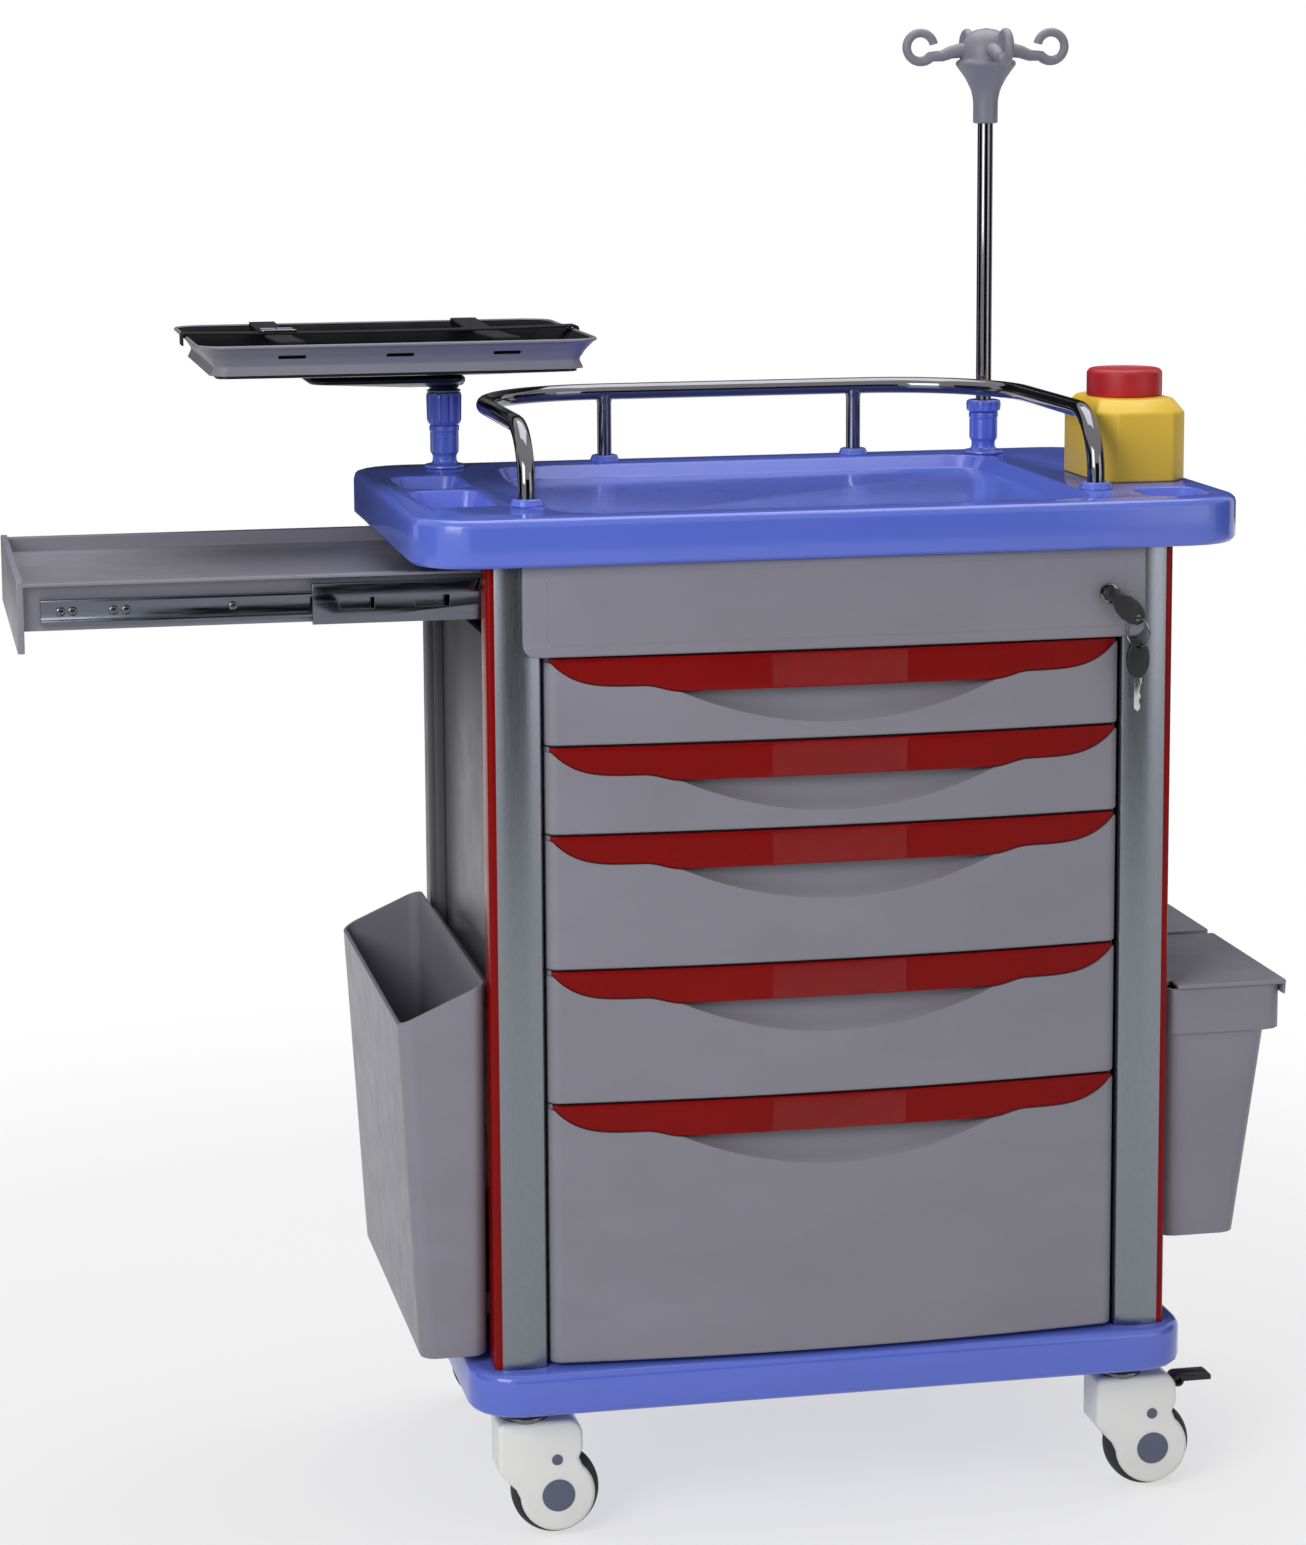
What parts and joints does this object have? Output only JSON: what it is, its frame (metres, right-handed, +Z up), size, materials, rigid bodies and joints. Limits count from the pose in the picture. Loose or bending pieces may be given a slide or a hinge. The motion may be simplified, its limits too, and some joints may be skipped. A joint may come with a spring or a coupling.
{
  "type": "medication cart",
  "caption": "Hospital medication cart on casters with sliding drawers, a pull-out side shelf, a railed work top, a swivel tray, a drip pole, hung bins and a sharps box.",
  "frame": {"origin": "middle of the whole outline, on the floor", "axes": "+X to the right of someone who faces the drawers, +Y to the rear, +Z up"},
  "size_m": [1.1384, 0.5906, 1.3453],
  "materials": {
    "blue_abs": "gloss",
    "grey_abs": "satin",
    "dark_grey_abs": "fine grain",
    "red_abs": "gloss",
    "zinc_steel": "spangled zinc",
    "chrome": "polished",
    "slide_steel": "bright zinc",
    "black_plastic": "satin",
    "white_abs": "satin",
    "black_tyre": "matte",
    "yellow_plastic": "satin",
    "red_cap": "satin",
    "black_elastic": "woven"
  },
  "bodies": {
    "cart": {"back_panel": "dark_grey_abs", "base_tray": "blue_abs", "column_front_left": "zinc_steel", "column_front_right": "zinc_steel", "column_rear_left": "zinc_steel", "column_rear_right": "zinc_steel", "column_trim_front_left": "red_abs", "column_trim_front_right": "red_abs", "column_trim_rear_left": "red_abs", "column_trim_rear_right": "red_abs", "guard_rail": "chrome", "iv_socket": "blue_abs", "left_bucket": "grey_abs", "left_side_panel": "dark_grey_abs", "lock_panel": "grey_abs", "right_side_panel": "dark_grey_abs", "slide_outer_frame": "slide_steel", "top_board": "blue_abs", "tray_socket": "blue_abs", "waste_bin_front": "grey_abs", "waste_bin_rear": "grey_abs"},
    "drawer_1_body": {"drawer_1": "grey_abs", "drawer_handle_1": "red_abs"},
    "drawer_2_body": {"drawer_2": "grey_abs", "drawer_handle_2": "red_abs"},
    "drawer_3_body": {"drawer_3": "grey_abs", "drawer_handle_3": "red_abs"},
    "drawer_4_body": {"drawer_4": "grey_abs", "drawer_handle_4": "red_abs"},
    "drawer_5_body": {"drawer_5": "grey_abs", "drawer_handle_5": "red_abs"},
    "shelf": {"shelf_pan": "grey_abs", "slide_inner_front": "slide_steel", "slide_inner_rear": "slide_steel"},
    "slide_middle": {"slide_middle_front": "slide_steel", "slide_middle_rear": "slide_steel"},
    "tray": {"tray_arm": "black_plastic", "defib_tray": "blue_abs", "tray_strap": "black_elastic"},
    "tray_knob": {"tray_collar": "blue_abs"},
    "pole": {"iv_pole": "chrome"},
    "pole_head": {"iv_head": "blue_abs"},
    "pole_knob": {"iv_collar": "blue_abs"},
    "lock": {"lock_barrel": "chrome", "lock_key": "black_plastic"},
    "spare_key": {"spare_key_ring": "black_plastic"},
    "sharps": {"sharps_box": "yellow_plastic"},
    "sharps_cap": {"sharps_lid": "red_cap"},
    "lid_front": {"waste_lid_front": "grey_abs"},
    "lid_rear": {"waste_lid_rear": "grey_abs"},
    "caster_front_left": {"caster_fork_front_left": "white_abs"},
    "wheel_front_left": {"caster_wheel_front_left": "black_tyre"},
    "caster_front_right": {"caster_fork_front_right": "white_abs"},
    "wheel_front_right": {"caster_wheel_front_right": "black_tyre"},
    "pedal_front_right": {"brake_pedal_front_right": "black_plastic"},
    "caster_rear_left": {"caster_fork_rear_left": "white_abs"},
    "wheel_rear_left": {"caster_wheel_rear_left": "black_tyre"},
    "pedal_rear_left": {"brake_pedal_rear_left": "black_plastic"},
    "caster_rear_right": {"caster_fork_rear_right": "white_abs"},
    "wheel_rear_right": {"caster_wheel_rear_right": "black_tyre"}
  },
  "joints": [
    {"name": "drawer_1_slide", "type": "slide", "parent": "cart", "child": "drawer_1_body", "axis": [0, -1, 0], "range_m": [0, 0.3]},
    {"name": "drawer_2_slide", "type": "slide", "parent": "cart", "child": "drawer_2_body", "axis": [0, -1, 0], "range_m": [0, 0.3]},
    {"name": "drawer_3_slide", "type": "slide", "parent": "cart", "child": "drawer_3_body", "axis": [0, -1, 0], "range_m": [0, 0.3]},
    {"name": "drawer_4_slide", "type": "slide", "parent": "cart", "child": "drawer_4_body", "axis": [0, -1, 0], "range_m": [0, 0.3]},
    {"name": "drawer_5_slide", "type": "slide", "parent": "cart", "child": "drawer_5_body", "axis": [0, -1, 0], "range_m": [0, 0.3]},
    {"name": "shelf_slide", "type": "slide", "parent": "cart", "child": "shelf", "axis": [1, 0, 0], "range_m": [0, 0.396]},
    {"name": "slide_middle_slide", "type": "slide", "parent": "cart", "child": "slide_middle", "axis": [1, 0, 0], "range_m": [0, 0.16]},
    {"name": "tray_swivel", "type": "hinge", "parent": "cart", "child": "tray", "pos_m": [-0.14375, 0.147, 1.0036], "axis": [0, 0, 1], "continuous": true},
    {"name": "tray_knob_turn", "type": "hinge", "parent": "cart", "child": "tray_knob", "pos_m": [-0.14375, 0.147, 0.9713], "axis": [0, 0, 1], "range_deg": [0, 180]},
    {"name": "pole_lift", "type": "slide", "parent": "cart", "child": "pole", "axis": [0, 0, 1], "range_m": [0, 0.38]},
    {"name": "pole_head_turn", "type": "hinge", "parent": "pole", "child": "pole_head", "pos_m": [0.39325, 0.142, 1.2533], "axis": [0, 0, 1], "continuous": true},
    {"name": "pole_knob_turn", "type": "hinge", "parent": "cart", "child": "pole_knob", "pos_m": [0.39325, 0.142, 0.9713], "axis": [0, 0, 1], "range_deg": [0, 180]},
    {"name": "lock_turn", "type": "hinge", "parent": "cart", "child": "lock", "pos_m": [0.38725, -0.275, 0.847], "axis": [0, -1, 0], "range_deg": [0, 90]},
    {"name": "spare_key_hang", "type": "hinge", "parent": "lock", "child": "spare_key", "pos_m": [0.41103, -0.2835, 0.82559], "axis": [0, -1, 0], "range_deg": [-90, 0]},
    {"name": "sharps_lift", "type": "slide", "parent": "cart", "child": "sharps", "axis": [0, 0, 1], "range_m": [0, 0.1]},
    {"name": "sharps_cap_turn", "type": "hinge", "parent": "sharps", "child": "sharps_cap", "pos_m": [0.46275, -0.083, 1.0053], "axis": [0, 0, 1], "range_deg": [0, 90]},
    {"name": "lid_front_hinge", "type": "hinge", "parent": "cart", "child": "lid_front", "pos_m": [0.45875, -0.153, 0.4795], "axis": [0, -1, 0], "range_deg": [0, 85]},
    {"name": "lid_rear_hinge", "type": "hinge", "parent": "cart", "child": "lid_rear", "pos_m": [0.45875, 0.057, 0.4795], "axis": [0, -1, 0], "range_deg": [0, 85]},
    {"name": "swivel_front_left", "type": "hinge", "parent": "cart", "child": "caster_front_left", "pos_m": [-0.13875, -0.223, 0.125], "axis": [0, 0, 1], "continuous": true},
    {"name": "spin_front_left", "type": "hinge", "parent": "caster_front_left", "child": "wheel_front_left", "pos_m": [-0.11175, -0.223, 0.04], "axis": [0, 1, 0], "continuous": true},
    {"name": "swivel_front_right", "type": "hinge", "parent": "cart", "child": "caster_front_right", "pos_m": [0.42125, -0.223, 0.125], "axis": [0, 0, 1], "continuous": true},
    {"name": "spin_front_right", "type": "hinge", "parent": "caster_front_right", "child": "wheel_front_right", "pos_m": [0.44825, -0.223, 0.04], "axis": [0, 1, 0], "continuous": true},
    {"name": "brake_front_right", "type": "hinge", "parent": "caster_front_right", "child": "pedal_front_right", "pos_m": [0.47725, -0.223, 0.098], "axis": [0, 1, 0], "range_deg": [0, 20]},
    {"name": "swivel_rear_left", "type": "hinge", "parent": "cart", "child": "caster_rear_left", "pos_m": [-0.13875, 0.127, 0.125], "axis": [0, 0, 1], "continuous": true},
    {"name": "spin_rear_left", "type": "hinge", "parent": "caster_rear_left", "child": "wheel_rear_left", "pos_m": [-0.11175, 0.127, 0.04], "axis": [0, 1, 0], "continuous": true},
    {"name": "brake_rear_left", "type": "hinge", "parent": "caster_rear_left", "child": "pedal_rear_left", "pos_m": [-0.08275, 0.127, 0.098], "axis": [0, 1, 0], "range_deg": [0, 20]},
    {"name": "swivel_rear_right", "type": "hinge", "parent": "cart", "child": "caster_rear_right", "pos_m": [0.42125, 0.127, 0.125], "axis": [0, 0, 1], "continuous": true},
    {"name": "spin_rear_right", "type": "hinge", "parent": "caster_rear_right", "child": "wheel_rear_right", "pos_m": [0.44825, 0.127, 0.04], "axis": [0, 1, 0], "continuous": true}
  ],
  "couplings": [
    {"joint": "slide_middle_slide", "follows": "shelf_slide", "ratio": 0.4},
    {"joint": "spare_key_hang", "follows": "lock_turn", "ratio": -1}
  ]
}
